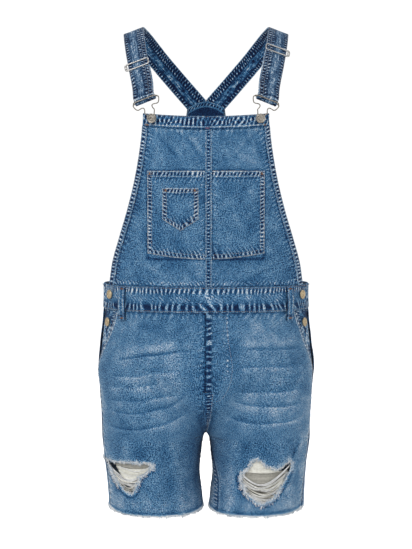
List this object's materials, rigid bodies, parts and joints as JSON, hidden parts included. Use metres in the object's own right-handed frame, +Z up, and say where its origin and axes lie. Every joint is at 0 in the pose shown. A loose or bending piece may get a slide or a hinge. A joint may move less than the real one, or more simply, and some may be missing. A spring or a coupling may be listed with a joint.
{
  "type": "denim dungaree shorts",
  "caption": "Bib-and-brace denim shorts as worn, hollow, with hooked straps over the shoulders, patch pockets, ripped thighs and frayed hems.",
  "frame": {"origin": "middle of the shoulder line, on the level of the straps' tops, where the wearer carries the garment", "axes": "+Z up the body, -Y out of the chest, +X towards the wearer's left"},
  "size_m": [0.3656, 0.2625, 0.8244],
  "materials": {
    "denim": "washed mid-blue denim twill",
    "denim_trim": "washed denim, doubled and stitched, with worn ridges",
    "denim_inside": "darker inner face of the denim",
    "undyed_yarn": "loose undyed cotton yarn",
    "metal": "dull antique nickel"
  },
  "bodies": {
    "root": {"front_leg_left": "denim", "back_leg_left": "denim", "front_leg_right": "denim", "back_leg_right": "denim", "hip_facing_left": "denim_trim", "hip_facing_right": "denim_trim", "fly_lap": "denim_trim", "front_rise_seam": "denim_trim", "waistband_front": "denim_trim", "waistband_back": "denim_trim", "belt_loop_left": "denim_trim", "belt_loop_right": "denim_trim", "bib_left": "denim", "bib_binding_left": "denim_trim", "bib_right": "denim", "bib_binding_right": "denim_trim", "bib_top_band": "denim_trim", "bib_seam_upper": "denim_trim", "bib_seam_lower": "denim_trim", "bib_pocket_right": "denim", "bib_pocket_left": "denim", "bib_pocket_seam": "denim_trim", "coin_pocket": "denim", "back_panel": "denim", "back_binding_left": "denim_trim", "back_binding_right": "denim_trim", "yoke_facing": "denim_inside", "strap_left": "denim", "hook_left": "metal", "slider_left": "metal", "strap_right": "denim", "hook_right": "metal", "slider_right": "metal", "bib_button_left": "metal", "side_button_left_upper": "metal", "side_button_left_lower": "metal", "bib_button_right": "metal", "side_button_right_upper": "metal", "side_button_right_lower": "metal", "rip_yarns_left": "undyed_yarn", "rip_yarns_right": "undyed_yarn", "hem_fray_left_front": "undyed_yarn", "hem_fray_left_back": "undyed_yarn", "hem_fray_right_front": "undyed_yarn", "hem_fray_right_back": "undyed_yarn"}
  },
  "joints": []
}
